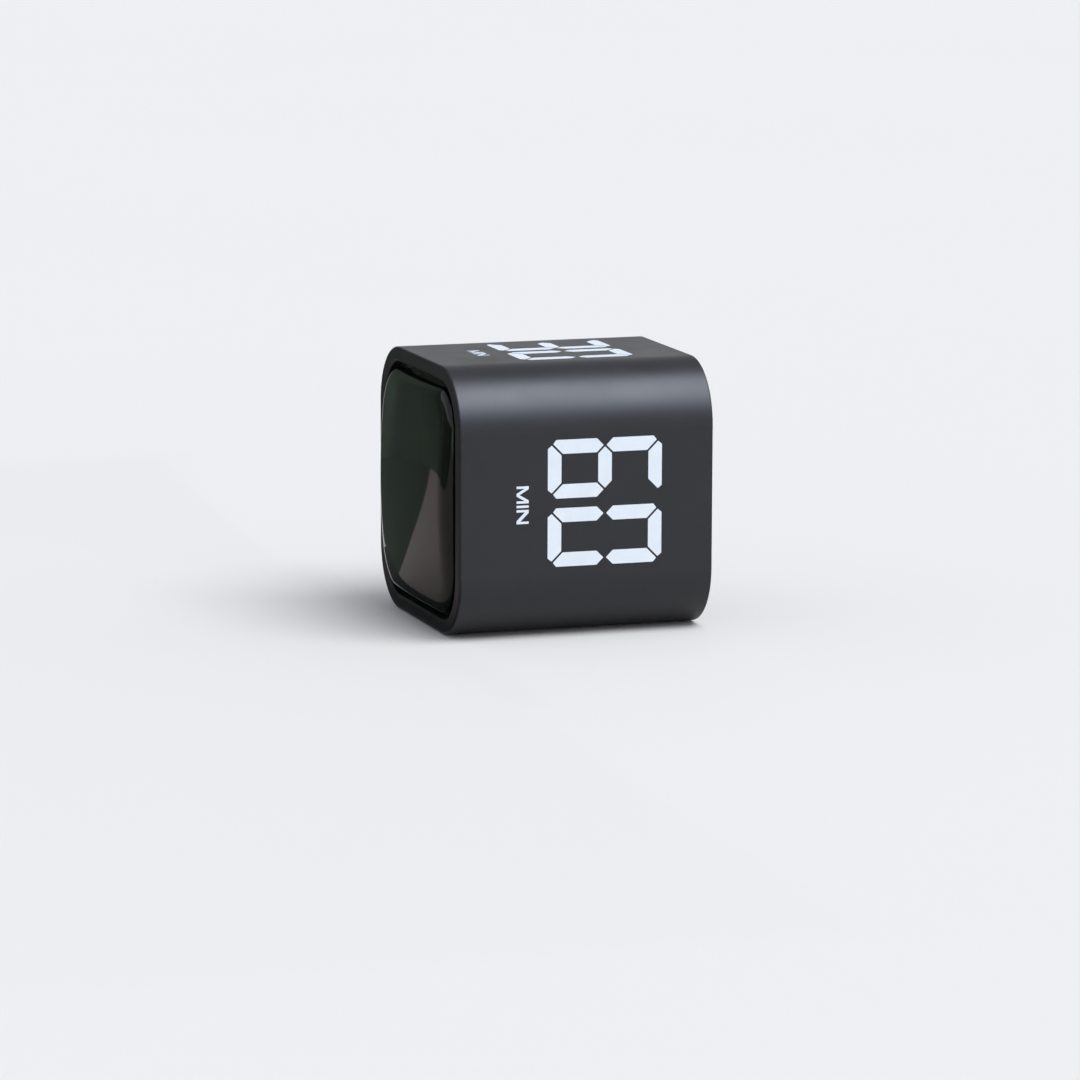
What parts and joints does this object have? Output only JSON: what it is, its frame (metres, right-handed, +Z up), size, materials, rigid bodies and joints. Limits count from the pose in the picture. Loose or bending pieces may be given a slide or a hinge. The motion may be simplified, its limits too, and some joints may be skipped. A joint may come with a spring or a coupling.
{
  "type": "flip timer",
  "caption": "Countdown timer in a square tube with rounded corners, with a domed display window in front, and a battery door and a slide switch behind.",
  "frame": {"origin": "under the middle of the whole part, on the side that it stands on", "axes": "+X to the right across the display as seen from the front, +Y from the display to the back, +Z up"},
  "size_m": [0.06, 0.062, 0.06],
  "materials": {
    "case_plastic": "satin black",
    "inner_plastic": "black",
    "lens_plastic": "dark tinted, mirror-like",
    "adhesive": "black adhesive film",
    "reflector_plastic": "dark grey",
    "milky_filling": "milky resin",
    "circuit_board": "green solder mask",
    "led_package": "yellow resin",
    "tinned_metal": "tinned",
    "plated_steel": "nickel plated",
    "chip_resin": "black moulding resin",
    "capacitor_sleeve": "dark blue sleeve",
    "sensor_plastic": "brown phenolic",
    "gold_contact": "brass",
    "cell_metal": "nickel plated can",
    "cell_jacket": "plain shrink sleeve",
    "lever_plastic": "white",
    "red_lead": "red insulation",
    "pale_lead": "white insulation",
    "grey_lead": "grey insulation"
  },
  "bodies": {
    "case": {"housing_sleeve": "case_plastic", "rear_cover": "case_plastic", "light_shield": "inner_plastic", "display_lens": "lens_plastic", "lens_adhesive": "adhesive", "display_reflector": "reflector_plastic", "display_segments": "milky_filling", "display_carrier": "circuit_board", "main_board": "circuit_board", "switch_board": "circuit_board", "led_chips": "led_package", "display_pins": "tinned_metal", "board_screws": "plated_steel", "switch_board_screws": "plated_steel", "controller_chip": "chip_resin", "chip_leads": "tinned_metal", "crystal_can": "plated_steel", "capacitors": "capacitor_sleeve", "resistors": "chip_resin", "digit_transistors": "chip_resin", "tilt_sensor_case": "sensor_plastic", "tilt_sensor_lid": "sensor_plastic", "tilt_sensor_contacts": "gold_contact", "upper_cell": "cell_metal", "lower_cell": "cell_metal", "upper_cell_jacket": "cell_jacket", "lower_cell_jacket": "cell_jacket", "upper_contact_spring": "plated_steel", "lower_contact_spring": "plated_steel", "link_plate": "plated_steel", "positive_plate": "plated_steel", "negative_plate": "plated_steel", "buzzer_case": "chip_resin", "buzzer_disc": "gold_contact", "buzzer_base": "inner_plastic", "switch_frame": "plated_steel", "switch_base": "sensor_plastic", "switch_terminals": "gold_contact", "battery_leads": "red_lead", "switch_leads": "pale_lead", "buzzer_leads": "grey_lead"},
    "door": {"battery_door": "case_plastic"},
    "switch": {"switch_knob": "case_plastic", "switch_lever": "lever_plastic"},
    "ball": {"tilt_sensor_ball": "plated_steel"}
  },
  "joints": [
    {"name": "door_hinge", "type": "hinge", "parent": "case", "child": "door", "pos_m": [0, 0.0304, 0.04225], "axis": [1, 0, 0], "range_deg": [0, 80]},
    {"name": "switch_slide", "type": "slide", "parent": "case", "child": "switch", "axis": [1, 0, 0], "range_m": [-0.002, 0.002]},
    {"name": "ball_roll", "type": "hinge", "parent": "case", "child": "ball", "pos_m": [0.009, -0.01095, 0.0145], "axis": [0, 1, 0], "continuous": true}
  ]
}
